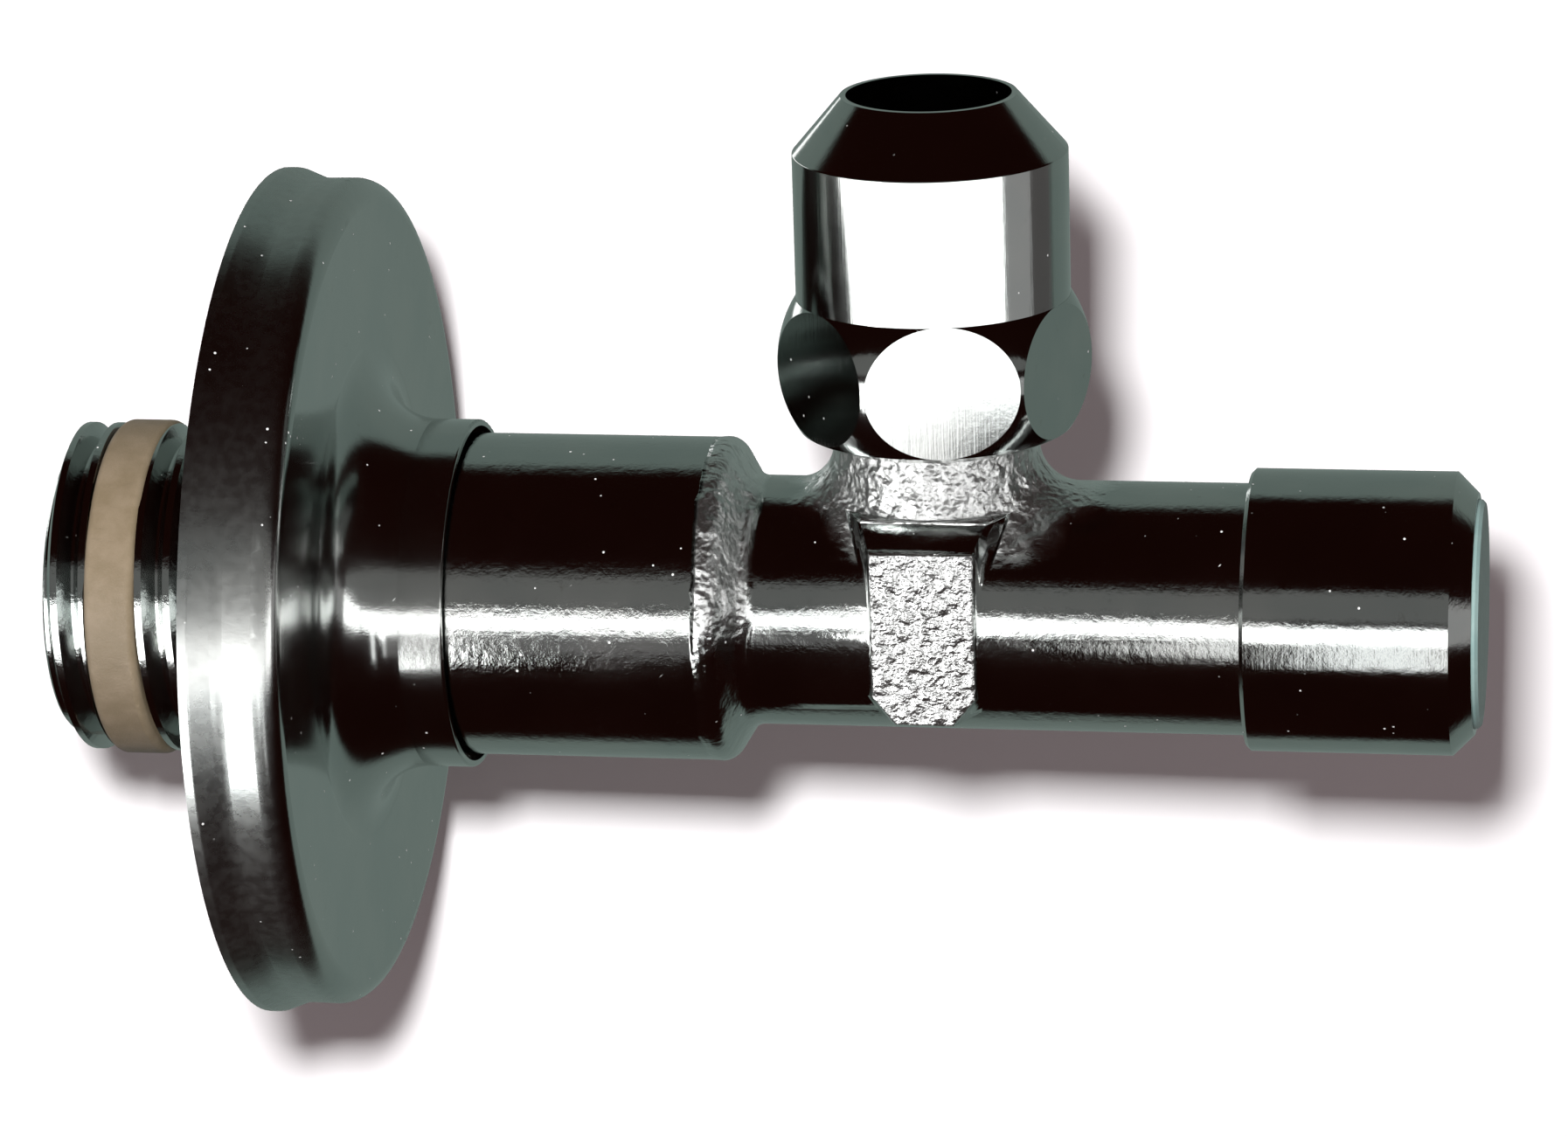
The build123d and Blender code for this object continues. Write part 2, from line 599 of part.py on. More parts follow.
# Bonnet and gasket
gasket = ring_x(bonnet_bore_r, bonnet_collar_r, body_end_x, gasket_x1)
save(gasket, "bonnet_gasket")
bonnet = turned_x([
    (bonnet_nose_x, 0),
    (bonnet_nose_x, chamber_r - BONNET_NOSE_GAP),
    (chamber_end_x + SCREW_GAP, chamber_r - BONNET_NOSE_GAP),
    (chamber_end_x + SCREW_GAP, bonnet_bore_r - SCREW_GAP),
    (gasket_x1, bonnet_bore_r - SCREW_GAP),
    (gasket_x1, bonnet_collar_r),
    (collar_x1, bonnet_collar_r),
    (collar_x1, 0),
])
bonnet = bonnet + hexagon_x(bonnet_hex_flats, collar_x1, bonnet_front_x)
bonnet = bonnet - hexagon_x(guide_flats, bonnet_nose_x - OVERCUT, guide_end_x)
bonnet = bonnet - ring_x(0, stem_bore_r, guide_end_x - OVERCUT, bonnet_front_x + OVERCUT)
save(bonnet, "bonnet")

# Spindle, with the collar behind the bonnet and teeth for the handle
stem_r = stem_bore_r - RUNNING_GAP
groove_half = O_RING_GROOVE_WIDTH / 2
spindle = turned_x([
    (spindle_tip_x, 0),
    (spindle_tip_x, SPINDLE_THREAD_R),
    (spindle_collar_x0, SPINDLE_THREAD_R),
    (spindle_collar_x0, spindle_collar_r),
    (spindle_collar_x1, spindle_collar_r),
    (spindle_collar_x1, stem_r),
    (o_ring_inner_x - groove_half, stem_r),
    (o_ring_inner_x - groove_half, o_ring_groove_r),
    (o_ring_inner_x + groove_half, o_ring_groove_r),
    (o_ring_inner_x + groove_half, stem_r),
    (o_ring_outer_x - groove_half, stem_r),
    (o_ring_outer_x - groove_half, o_ring_groove_r),
    (o_ring_outer_x + groove_half, o_ring_groove_r),
    (o_ring_outer_x + groove_half, stem_r),
    (circlip_x0 - SEAT_GAP, stem_r),
    (circlip_x0 - SEAT_GAP, circlip_groove_r),
    (circlip_x1 + SEAT_GAP, circlip_groove_r),
    (circlip_x1 + SEAT_GAP, 0),
])
spindle = spindle + spline_x(spline_tip_r, spline_root_r, circlip_x1 + SEAT_GAP, spindle_end_x)
spindle = spindle - ring_x(0, spindle_tap_r, spindle_tap_x, spindle_end_x + OVERCUT)
save(spindle, "spindle")

thrust_washer = ring_x(
    stem_bore_r,
    spindle_collar_r + THRUST_WASHER_STAND,
    spindle_collar_x1 + SEAT_GAP,
    guide_end_x - SEAT_GAP,
)
save(thrust_washer, "thrust_washer")
for node, centre_x in (
    ("spindle_o_ring_inner", o_ring_inner_x),
    ("spindle_o_ring_outer", o_ring_outer_x),
):
    o_ring = Torus(o_ring_groove_r + SEAL_GAP + O_RING_SECTION / 2, O_RING_SECTION / 2)
    save(Pos(centre_x, 0, 0) * Rot(0, 90, 0) * o_ring, node)
circlip_bore_r = circlip_groove_r + SEAT_GAP
circlip_r = circlip_bore_r + CIRCLIP_WALL
circlip = ring_x(circlip_bore_r, circlip_r, circlip_x0, circlip_x1)
circlip = circlip - wedge_x(CIRCLIP_GAP_ANGLE, 2 * circlip_r, circlip_x0 - OVERCUT, circlip_x1 + OVERCUT)
save(circlip, "spindle_circlip")

# Disc carrier with seat washer, plate and screw
carrier_flats = guide_flats - 2 * RUNNING_GAP
screw_hole_r = washer_screw_r + SCREW_GAP
screw_floor_x = carrier_bore_x - WASHER_SCREW_FLOOR
carrier = turned_x([
    (washer_x1, 0),
    (washer_x1, cup_r),
    (washer_x1 - CARRIER_RIM_DEPTH, cup_r),
    (washer_x1 - CARRIER_RIM_DEPTH, carrier_head_r),
    (carrier_back_x, carrier_head_r),
    (carrier_back_x, 0),
])
carrier = carrier + hexagon_x(carrier_flats, carrier_back_x, carrier_end_x)
carrier_bore_r = SPINDLE_THREAD_R + RUNNING_GAP
carrier = carrier - ring_x(0, carrier_bore_r, carrier_bore_x, carrier_end_x + OVERCUT)
carrier = carrier - ring_x(0, screw_hole_r, washer_x1 - OVERCUT, screw_floor_x)
save(carrier, "disc_carrier")
washer_hole_r = washer_screw_r + WASHER_SCREW_PLAY
save(ring_x(washer_hole_r, seat_washer_r, washer_x0, washer_x1), "seat_washer")
plate_x0 = washer_x0 - PLATE_THICKNESS
save(ring_x(washer_hole_r, plate_r, plate_x0, washer_x0), "seat_washer_plate")
washer_head_x = plate_x0 - WASHER_SCREW_HEAD
washer_screw = turned_x([
    (washer_head_x, 0),
    (washer_head_x, washer_head_r, SLOT_DEPTH),
    (plate_x0, washer_head_r),
    (plate_x0, washer_screw_r),
    (screw_floor_x - SCREW_GAP, washer_screw_r),
    (screw_floor_x - SCREW_GAP, 0),
])
washer_slot = Box(SLOT_DEPTH + OVERCUT, 2 * washer_head_r + OVERCUT, SLOT_WIDTH)
washer_screw = washer_screw - Pos(washer_head_x + (SLOT_DEPTH - OVERCUT) / 2, 0, 0) * washer_slot
save(washer_screw, "seat_washer_screw")

# Handle with skirt, web and toothed hole
recess_r = cap_r + CAP_GAP
handle = turned_x([
    (handle_x0, skirt_r),
    (handle_x0, HANDLE_R - HANDLE_EDGE),
    (handle_x0 + HANDLE_EDGE, HANDLE_R),
    (handle_end_x - HANDLE_CHAMFER, HANDLE_R),
    (handle_end_x, HANDLE_R - HANDLE_CHAMFER),
    (handle_end_x, recess_r),
    (web_x1, recess_r),
    (web_x1, 0),
    (web_x0, 0),
    (web_x0, skirt_r),
])
handle = handle - spline_x(
    spline_tip_r + SCREW_GAP, spline_root_r + SCREW_GAP, web_x0 - OVERCUT, web_x1 + OVERCUT
)
save(handle, "handle")
handle_screw_r = spindle_tap_r - SCREW_GAP
lock_bore_r = spindle_tap_r + SCREW_GAP
lock_r = lock_bore_r + LOCK_WASHER_WALL
lock_x1 = web_x1 + LOCK_WASHER_THICKNESS
lock_washer = ring_x(lock_bore_r, lock_r, web_x1, lock_x1)
lock_washer = lock_washer - wedge_x(
    LOCK_WASHER_GAP_ANGLE, 2 * lock_r, web_x1 - OVERCUT, lock_x1 + OVERCUT
)
save(lock_washer, "handle_lock_washer")
handle_head_r = handle_screw_r + HANDLE_SCREW_HEAD_WALL
handle_head_x1 = lock_x1 + HANDLE_SCREW_HEAD
handle_screw = turned_x([
    (spindle_tap_x + HANDLE_SCREW_TIP_GAP, 0),
    (spindle_tap_x + HANDLE_SCREW_TIP_GAP, handle_screw_r),
    (lock_x1, handle_screw_r),
    (lock_x1, handle_head_r),
    (handle_head_x1, handle_head_r, SLOT_DEPTH),
    (handle_head_x1, 0),
])
handle_slot = Box(SLOT_DEPTH + OVERCUT, handle_head_r, SLOT_WIDTH)
handle_slot_x = handle_head_x1 - (SLOT_DEPTH - OVERCUT) / 2
for turn in (0, 90):
    handle_screw = handle_screw - Pos(handle_slot_x, 0, 0) * Rot(turn, 0, 0) * handle_slot
save(handle_screw, "handle_screw")
cap = turned_x([
    (web_x1 + CAP_RIM_GAP, cap_r - CAP_RIM),
    (web_x1 + CAP_RIM_GAP, cap_r),
    (cap_face_x - CAP_EDGE, cap_r),
    (cap_face_x, cap_r - CAP_EDGE),
    (cap_face_x, 0),
    (cap_face_x - CAP_DISC, 0),
    (cap_face_x - CAP_DISC, cap_r - CAP_RIM),
])
save(cap, "handle_cap")
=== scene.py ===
import math

import bpy
from mathutils import Matrix, Vector


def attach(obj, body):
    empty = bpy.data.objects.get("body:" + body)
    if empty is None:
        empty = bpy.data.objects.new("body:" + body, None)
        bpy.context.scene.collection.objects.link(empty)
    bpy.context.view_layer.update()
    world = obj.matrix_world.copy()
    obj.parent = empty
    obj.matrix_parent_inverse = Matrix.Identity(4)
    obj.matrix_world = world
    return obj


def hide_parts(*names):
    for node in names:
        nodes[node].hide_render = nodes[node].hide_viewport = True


MM = 0.001
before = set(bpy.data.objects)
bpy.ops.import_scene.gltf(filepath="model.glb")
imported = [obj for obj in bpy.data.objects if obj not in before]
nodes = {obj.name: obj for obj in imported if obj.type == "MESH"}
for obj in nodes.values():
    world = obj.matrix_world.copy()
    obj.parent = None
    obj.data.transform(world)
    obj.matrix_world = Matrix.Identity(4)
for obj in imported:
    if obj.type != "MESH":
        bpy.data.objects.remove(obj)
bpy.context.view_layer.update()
scene = bpy.context.scene

# Sizes of the valve in millimetres, as the solids have them
INLET_END = -13.5
INLET_CREST_R = 10.4775
INLET_ROOT_R = 9.3155
INLET_BORE_R = 6.0
INLET_MOUTH = 0.6
INLET_RUNOUT = 2.0
INLET_PITCH = 1.814
INLET_FRONT_CREST = -12.357
BARREL_R = 10.2
BARREL_END = 28.0
SHOULDER_FOOT = 30.6
RING_GROOVE = (-10.52, -7.28)
RING_GROOVE_R = 9.0975
OUTLET_X = 42.1
OUTLET_BORE_R = 4.0
SPIGOT_Z = 11.9
SPIGOT_TOP = 19.6
SPIGOT_CREST_R = 6.675
SPIGOT_ROOT_R = 6.07
SPIGOT_PITCH = 1.0
SOCKET_R = 5.05
SOCKET_STOP = 13.0
SEAT_CONE_R = 6.1
PAD_FACE = 8.25
PAD_HALF_WIDTH = 3.15
PAD_TOP = 5.65
PAD_CROWN = 7.25
PAD_SPREAD = 0.466

# Edges of the two screwed ends, and where these meet the casting
INLET_EDGE = 0.15
INLET_LEAD_IN = 0.45
INLET_SLOPE = 1.0
INLET_RUNOUT_END = INLET_RUNOUT + INLET_CREST_R - BARREL_R
SPIGOT_CLEAR = 0.2
SPIGOT_CUT = SPIGOT_Z + SPIGOT_CLEAR
SPIGOT_SINK = 0.4
SPIGOT_LEAD_IN = 0.2
LIP_HEIGHT = 0.35
LIP_DROP = 0.02
LIP_OUTER = 0.25
LIP_INNER = 0.35
SEAT_CONE_DEPTH = 1.05

# A thread ridge: half its width at foot and crest in pitches, and how far it reaches into the metal
RIDGE_FOOT = 0.47
RIDGE_FLAT = 0.12
RIDGE_SINK = 0.06
RIDGE_STEPS = 72

# Working of the meshes
TURN_STEPS = 144
OUTLINE_WELD = 0.001
MESH_WELD = 0.002
SHARP_ANGLE = 32

# View of the photograph
VIEW_TARGET = (32.214, 0.0, 2.072)
VIEW_AZIMUTH = 9.899
VIEW_ELEVATION = 17.215
VIEW_ROLL = 1.799
VIEW_DISTANCE = 380.0
VIEW_FOCAL_PIXELS = 6913.4
IMAGE_WIDTH = 1794
SENSOR = 36.0
NEAR_CLIP = 10.0

# Studio, with distances and lamp sizes in millimetres and angles in degrees
STUDIO_CENTRE = (32.0, 0.0, 2.0)
STRIP_DISTANCE = 115
STRIP_DIP = -3
STRIP_HEIGHT = 26
STRIP_LIGHT = 3.2
GLOW_TINT = (0.95, 1.0, 0.98)
KEY_SIZE = 36
KEY_DISTANCE = 400
KEY_ASIDE = 4.5
KEY_ABOVE = 7
KEY_POWER = 2.25
PAPER_WIDTH = 160
PAPER_HEIGHT = 130
PAPER_BEHIND = 34
PAPER_WHITE = (0.9, 0.88, 0.89)
HOOD_R = 1500
FILL_TINT = (1.0, 0.82, 0.84)
FILL_STRENGTH = 0.2

# Cloth round the valve, seen in the plating only
DARK_CLOTH = (0.012, 0.003, 0.002)
GREY_CLOTH = (0.20, 0.25, 0.23)
GREY_HALF_ANGLE = 64.0
GREY_EDGE = 4.0
GREY_TILT = 11.5


# Mesh work


def deselect():
    if bpy.context.object and bpy.context.object.mode != "OBJECT":
        bpy.ops.object.mode_set(mode="OBJECT")
    bpy.ops.object.select_all(action="DESELECT")


def pick(obj):
    deselect()
    obj.select_set(True)
    bpy.context.view_layer.objects.active = obj


def open_mesh(obj):
    """Opens one object for editing, with all of its mesh selected."""
    pick(obj)
    bpy.ops.object.mode_set(mode="EDIT")
    bpy.ops.mesh.select_all(action="SELECT")


def close_mesh():
    bpy.ops.object.mode_set(mode="OBJECT")


def apply_modifier(obj, modifier):
    pick(obj)
    bpy.ops.object.modifier_apply(modifier=modifier.name)


def section(name, points):
    """A closed outline drawn point by point, in millimetres."""
    deselect()
    bpy.ops.mesh.primitive_plane_add(size=MM, location=(0, 0, 0))
    obj = bpy.context.object
    obj.name = name
    open_mesh(obj)
    bpy.ops.mesh.merge(type="CENTER")
    places = [Vector(p) * MM for p in points]
    bpy.ops.transform.translate(value=places[0])
    for here, there in zip(places, places[1:] + places[:1]):
        bpy.ops.mesh.extrude_vertices_move(TRANSFORM_OT_translate={"value": there - here})
    bpy.ops.mesh.select_all(action="SELECT")
    bpy.ops.mesh.remove_doubles(threshold=OUTLINE_WELD * MM)
    close_mesh()
    return obj


def tidy_mesh(obj):
    open_mesh(obj)
    bpy.ops.mesh.remove_doubles(threshold=MESH_WELD * MM)
    bpy.ops.mesh.normals_make_consistent(inside=False)
    close_mesh()


def turned(name, points, centre, axis):
    """A closed outline spun round an axis."""
    obj = section(name, points)
    open_mesh(obj)
    bpy.ops.mesh.spin(
        steps=TURN_STEPS, angle=2 * math.pi, center=Vector(centre) * MM, axis=axis
    )
    close_mesh()
    tidy_mesh(obj)
    return obj


def cut(obj, place, normal, fill):
    """Cuts away what lies on the side that the normal points to, and closes the cut if asked."""
    open_mesh(obj)
    bpy.ops.mesh.bisect(plane_co=Vector(place) * MM, plane_no=normal, clear_outer=True)
    if fill:
        bpy.ops.mesh.select_mode(type="EDGE")
        bpy.ops.mesh.edge_face_add()
        bpy.ops.mesh.quads_convert_to_tris(ngon_method="BEAUTY")
        bpy.ops.mesh.select_mode(type="VERT")
    close_mesh()


def ridge(name, upright, low, high, root, crest, pitch, front_crest):
    """One stretch of screw thread: a ridge wound round the axis, cut off square at both ends.

    front_crest is a place along the axis where a crest passes the front. The outline is drawn
    a quarter of a turn away from there.
    """
    foot, flat = RIDGE_FOOT * pitch, RIDGE_FLAT * pitch
    inside = root - RIDGE_SINK
    at = front_crest - 0.25 * pitch
    at -= math.ceil((at - low + foot) / pitch) * pitch
    turns = math.ceil((high + foot - at) / pitch) + 1
    sides = [(-foot, inside), (-flat, crest), (flat, crest), (foot, inside)]
    if upright:
        points = [(r, 0, at + s) for s, r in sides]
    else:
        points = [(at + s, 0, r) for s, r in sides]
    obj = section(name, points)
    winding = obj.modifiers.new("winding", "SCREW")
    winding.axis = "Z" if upright else "X"
    winding.angle = 2 * math.pi
    winding.screw_offset = pitch * MM
    winding.iterations = turns
    winding.steps = RIDGE_STEPS
    winding.render_steps = RIDGE_STEPS
    winding.use_merge_vertices = False
    apply_modifier(obj, winding)
    tidy_mesh(obj)
    along = Vector((0, 0, 1)) if upright else Vector((1, 0, 0))
    cut(obj, along * high, along, True)
    cut(obj, along * low, -along, True)
    if upright:
        open_mesh(obj)
        bpy.ops.transform.translate(value=(OUTLET_X * MM, 0, 0))
        close_mesh()
    tidy_mesh(obj)
    return obj


def joined(name, *objs):
    deselect()
    for obj in objs:
        obj.select_set(True)
    bpy.context.view_layer.objects.active = objs[0]
    bpy.ops.object.join()
    objs[0].name = name
    return objs[0]


def dress(obj, material):
    obj.data.materials.clear()
    obj.data.materials.append(material)


# Finishes


class Finish:
    """A procedural finish, built node by node on Object coordinates in millimetres."""

    def __init__(self, name):
        self.material = bpy.data.materials.new(name)
        self.material.use_nodes = True
        self.tree = self.material.node_tree
        self.shader = self.tree.nodes["Principled BSDF"]
        coords = self.tree.nodes.new("ShaderNodeTexCoord")
        scale = self.tree.nodes.new("ShaderNodeVectorMath")
        scale.operation = "SCALE"
        scale.inputs["Scale"].default_value = 1 / MM
        self.tree.links.new(coords.outputs["Object"], scale.inputs[0])
        self.place = scale.outputs[0]
        self.heights = []
        split = self.tree.nodes.new("ShaderNodeSeparateXYZ")
        self.tree.links.new(self.place, split.inputs[0])
        self.x, self.y, self.z = split.outputs

    def feed(self, socket, value):
        if isinstance(value, bpy.types.NodeSocket):
            self.tree.links.new(value, socket)
        elif isinstance(value, tuple) and len(value) == 3 and len(socket.default_value) == 4:
            socket.default_value = (*value, 1)
        else:
            socket.default_value = value

    def slanted(self, along, across):
        """Coordinates on the slant, drawn out one way."""
        node = self.tree.nodes.new("ShaderNodeCombineXYZ")
        self.feed(node.inputs[0], self.product(self.total(self.x, self.z), along))
        self.feed(node.inputs[1], self.product(self.math("SUBTRACT", self.x, self.z), across))
        self.feed(node.inputs[2], self.y)
        return node.outputs[0]

    def stretch(self, factors):
        node = self.tree.nodes.new("ShaderNodeVectorMath")
        node.operation = "MULTIPLY"
        self.feed(node.inputs[0], self.place)
        node.inputs[1].default_value = factors
        return node.outputs[0]

    def noise(self, scale, detail, rough, place=None):
        node = self.tree.nodes.new("ShaderNodeTexNoise")
        self.feed(node.inputs["Vector"], place or self.place)
        node.inputs["Scale"].default_value = scale
        node.inputs["Detail"].default_value = detail
        node.inputs["Roughness"].default_value = rough
        return node.outputs["Fac"]

    def cells(self, scale, place=None):
        node = self.tree.nodes.new("ShaderNodeTexVoronoi")
        self.feed(node.inputs["Vector"], place or self.place)
        node.inputs["Scale"].default_value = scale
        return node.outputs["Distance"]

    def ramp(self, value, low, high, out_low=0.0, out_high=1.0):
        node = self.tree.nodes.new("ShaderNodeMapRange")
        node.interpolation_type = "SMOOTHSTEP"
        self.feed(node.inputs["Value"], value)
        node.inputs["From Min"].default_value = low
        node.inputs["From Max"].default_value = high
        node.inputs["To Min"].default_value = out_low
        node.inputs["To Max"].default_value = out_high
        return node.outputs["Result"]

    def math(self, operation, a, b=0.0):
        node = self.tree.nodes.new("ShaderNodeMath")
        node.operation = operation
        self.feed(node.inputs[0], a)
        self.feed(node.inputs[1], b)
        return node.outputs[0]

    def chain(self, operation, values):
        out = values[0]
        for value in values[1:]:
            out = self.math(operation, out, value)
        return out

    def product(self, *values):
        return self.chain("MULTIPLY", values)

    def total(self, *values):
        return self.chain("ADD", values)

    def highest(self, *values):
        return self.chain("MAXIMUM", values)

    def reach(self, a, b):
        """Distance from an axis, from the two coordinates across it."""
        return self.math("SQRT", self.total(self.product(a, a), self.product(b, b)))

    def blend(self, factor, a, b):
        node = self.tree.nodes.new("ShaderNodeMix")
        node.data_type = "RGBA"
        self.feed(node.inputs[0], factor)
        self.feed(node.inputs[6], a)
        self.feed(node.inputs[7], b)
        return node.outputs[2]

    def bump(self, height, depth):
        """Adds relief; depth in millimetres."""
        node = self.tree.nodes.new("ShaderNodeBump")
        node.inputs["Strength"].default_value = 1.0
        node.inputs["Distance"].default_value = depth * MM
        self.feed(node.inputs["Height"], height)
        if self.heights:
            self.tree.links.new(self.heights[-1], node.inputs["Normal"])
        self.heights.append(node.outputs["Normal"])
        self.tree.links.new(node.outputs["Normal"], self.shader.inputs["Normal"])

    def set(self, **sockets):
        for name, value in sockets.items():
            self.feed(self.shader.inputs[name.replace("_", " ")], value)


CHROME = (0.44, 0.465, 0.455)
CHROME_WORN = (0.50, 0.51, 0.495)
CHROME_STAIN = (0.25, 0.235, 0.20)
CAST_TONE = (0.86, 0.87, 0.86)
SPECK_TONE = (0.8, 0.81, 0.8)

# How far the edge of the cast skin wanders, and how far its middle on the branch is moved over
SKIN_WANDER = 3.0
SKIN_SHIFT = 0.9

# Where each edge of a skin or a band starts and where it is full, in millimetres
BRANCH_SIDE = (9.4, 7.6)
BRANCH_LIMIT = (10.6, 8.4)
BRANCH_FOOT = (4.2, 5.8)
BRANCH_TOP = (6.4, 7.6)
SLOPE_SIDE = (PAD_HALF_WIDTH, PAD_HALF_WIDTH + 0.2)
SLOPE_TOP = (PAD_CROWN - 0.15, PAD_CROWN + 0.1)
SHOULDER_START = (BARREL_END - 0.1, BARREL_END + 0.2)
SHOULDER_STOP = (SHOULDER_FOOT + 1.0, SHOULDER_FOOT + 0.1)
SHOULDER_UPPER = (-1.5, 2.5)
PAD_SIDE = (PAD_HALF_WIDTH + 0.35, PAD_HALF_WIDTH)
PAD_DEPTH = (-PAD_FACE + 0.45, -PAD_FACE + 0.15)
PAD_UPPER_EDGE = (PAD_TOP + 0.3, PAD_TOP - 0.1)
RIM_BAND_R = (25.6, 26.3)


def chrome(name, lines, gloss=0.09, peel=0.02, line_depth=0.0025, cast=None, dull=None):
    """Polished plating with fine polishing lines, specks and dulled patches.

    gloss is the roughness and peel the waviness under the plating. cast gives the masks of the
    parts left as cast, and dull the mask of a part that is less polished.
    """
    finish = Finish(name)
    patches = finish.noise(0.11, 3, 0.6)
    haze = finish.noise(0.9, 6, 0.65)
    polish = finish.noise(7.0, 3, 0.5, finish.stretch(lines))
    specks = finish.ramp(finish.cells(0.75), 0.075, 0.04)
    scratches = finish.ramp(finish.cells(0.6, finish.slanted(0.12, 1.4)), 0.045, 0.02)
    rare = finish.ramp(finish.noise(0.33, 2, 0.5, finish.stretch((1.3, 1.1, 0.9))), 0.47, 0.53)
    rarer = finish.ramp(finish.noise(0.27, 2, 0.5), 0.56, 0.62)
    pits = finish.highest(finish.product(specks, rare), finish.product(scratches, rarer))
    stain = finish.ramp(haze, 0.62, 0.78)
    tone = finish.blend(finish.ramp(patches, 0.35, 0.7), CHROME, CHROME_WORN)
    tone = finish.blend(finish.product(stain, 0.35), tone, CHROME_STAIN)
    tone = finish.blend(pits, tone, SPECK_TONE)
    rough = finish.ramp(patches, 0.3, 0.75, gloss * 0.8, gloss * 1.3)
    rough = finish.total(rough, finish.product(pits, 0.4))
    if dull is not None:
        rubbed = finish.ramp(finish.noise(1.6, 2, 0.5), 0.3, 0.7, 0.12, 0.17)
        rough = finish.total(rough, finish.product(dull(finish), rubbed))
    relief = finish.total(finish.product(polish, line_depth), finish.product(haze, peel))
    if cast is not None:
        lumpy, grainy = cast(finish)
        lumps = finish.noise(0.8, 2, 0.5)
        grain = finish.noise(2.6, 4, 0.6)
        crust = finish.noise(1.3, 3, 0.5)
        sand = finish.noise(3.2, 3, 0.6)
        tone = finish.blend(finish.product(finish.highest(lumpy, grainy), 0.9), tone, CAST_TONE)
        rough = finish.total(rough, finish.product(lumpy, 0.28), finish.product(grainy, 0.24))
        skin = finish.total(finish.product(lumps, 0.6), finish.product(grain, 0.09))
        relief = finish.total(
            relief,
            finish.product(skin, lumpy),
            finish.product(crust, 0.5, grainy),
            finish.product(sand, 0.006),
        )
    finish.bump(relief, 1.0)
    finish.set(
        Base_Color=tone,
        Metallic=finish.math("SUBTRACT", 1.0, pits),
        Roughness=rough,
    )
    return finish.material


def cast_places(finish):
    """Where the body keeps its cast skin: lumpy on branch and shoulder, grainy on the pad."""
    from_outlet = finish.math("SUBTRACT", finish.x, OUTLET_X)
    aside = finish.math("ABSOLUTE", from_outlet)
    wander = finish.math("SUBTRACT", finish.noise(0.4, 3, 0.55), 0.5)
    wander = finish.product(wander, SKIN_WANDER)
    shifted = finish.math("SUBTRACT", from_outlet, SKIN_SHIFT)
    branch_reach = finish.total(finish.reach(shifted, finish.y), wander)
    near_branch = finish.product(
        finish.ramp(branch_reach, *BRANCH_SIDE), finish.ramp(finish.z, *BRANCH_FOOT)
    )
    above = finish.ramp(finish.total(finish.z, finish.product(wander, 0.3)), *BRANCH_TOP)
    behind_face = finish.product(finish.total(finish.y, PAD_FACE), PAD_SPREAD)
    from_slope = finish.math("SUBTRACT", aside, behind_face)
    clear_of_slope = finish.highest(
        finish.ramp(from_slope, *SLOPE_SIDE), finish.ramp(finish.z, *SLOPE_TOP)
    )
    branch = finish.product(
        finish.highest(near_branch, above),
        finish.ramp(branch_reach, *BRANCH_LIMIT),
        clear_of_slope,
    )
    along = finish.total(finish.x, finish.product(wander, 0.25))
    shoulder = finish.product(
        finish.ramp(along, *SHOULDER_START),
        finish.ramp(along, *SHOULDER_STOP),
        finish.ramp(finish.z, *SHOULDER_UPPER, 0.08, 1.0),
    )
    pad = finish.product(
        finish.ramp(aside, *PAD_SIDE),
        finish.ramp(finish.y, *PAD_DEPTH),
        finish.ramp(finish.z, *PAD_UPPER_EDGE),
    )
    return finish.highest(branch, shoulder), pad


def rim_band(finish):
    """The outer band of the rosette."""
    return finish.ramp(finish.reach(finish.y, finish.z), *RIM_BAND_R)


def plastic(name, low, high, rough, relief, scale=0.5):
    finish = Finish(name)
    clouds = finish.noise(scale, 6, 0.6)
    grain = finish.noise(9.0, 3, 0.6)
    scuffs = finish.ramp(finish.noise(2.2, 4, 0.6, finish.stretch((0.3, 2.0, 1.0))), 0.6, 0.72)
    tone = finish.blend(finish.ramp(clouds, 0.35, 0.68), low, high)
    tone = finish.blend(finish.product(scuffs, 0.25), tone, tuple(0.72 * c for c in low))
    finish.set(Base_Color=tone, Roughness=finish.ramp(grain, 0.3, 0.7, rough - 0.08, rough + 0.08))
    finish.bump(grain, relief)
    finish.bump(clouds, relief * 2)
    return finish.material


def metal(name, low, high, rough):
    finish = Finish(name)
    clouds = finish.noise(0.5, 5, 0.6)
    turned_lines = finish.noise(9.0, 3, 0.55, finish.stretch((0.05, 1, 1)))
    finish.set(
        Base_Color=finish.blend(finish.ramp(clouds, 0.3, 0.7), low, high),
        Metallic=1.0,
        Roughness=finish.ramp(turned_lines, 0.3, 0.7, rough - 0.07, rough + 0.09),
    )
    finish.bump(turned_lines, 0.012)
    return finish.material


body_chrome = chrome("chrome_on_cast_brass", (0.02, 1, 1), 0.10, 0.03, cast=cast_places)
nut_chrome = chrome("chrome_on_nut", (1, 1, 0.03), 0.10, 0.004, 0.004)
sheet_chrome = chrome("chrome_on_pressed_sheet", (0.3, 1, 1), 0.14, 0.008, dull=rim_band)
handle_chrome = chrome("chrome_on_handle", (1, 0.05, 0.05))
tan = plastic("tan_seal_plastic", (0.205, 0.158, 0.098), (0.25, 0.195, 0.13), 0.55, 0.03)
pale = plastic("pale_cap_plastic", (0.22, 0.335, 0.32), (0.27, 0.385, 0.365), 0.35, 0.01)
white_plastic = plastic("white_washer_plastic", (0.72, 0.71, 0.67), (0.8, 0.79, 0.75), 0.4, 0.01)
fibre = plastic("red_fibre", (0.20, 0.07, 0.045), (0.30, 0.11, 0.07), 0.75, 0.05, 1.5)
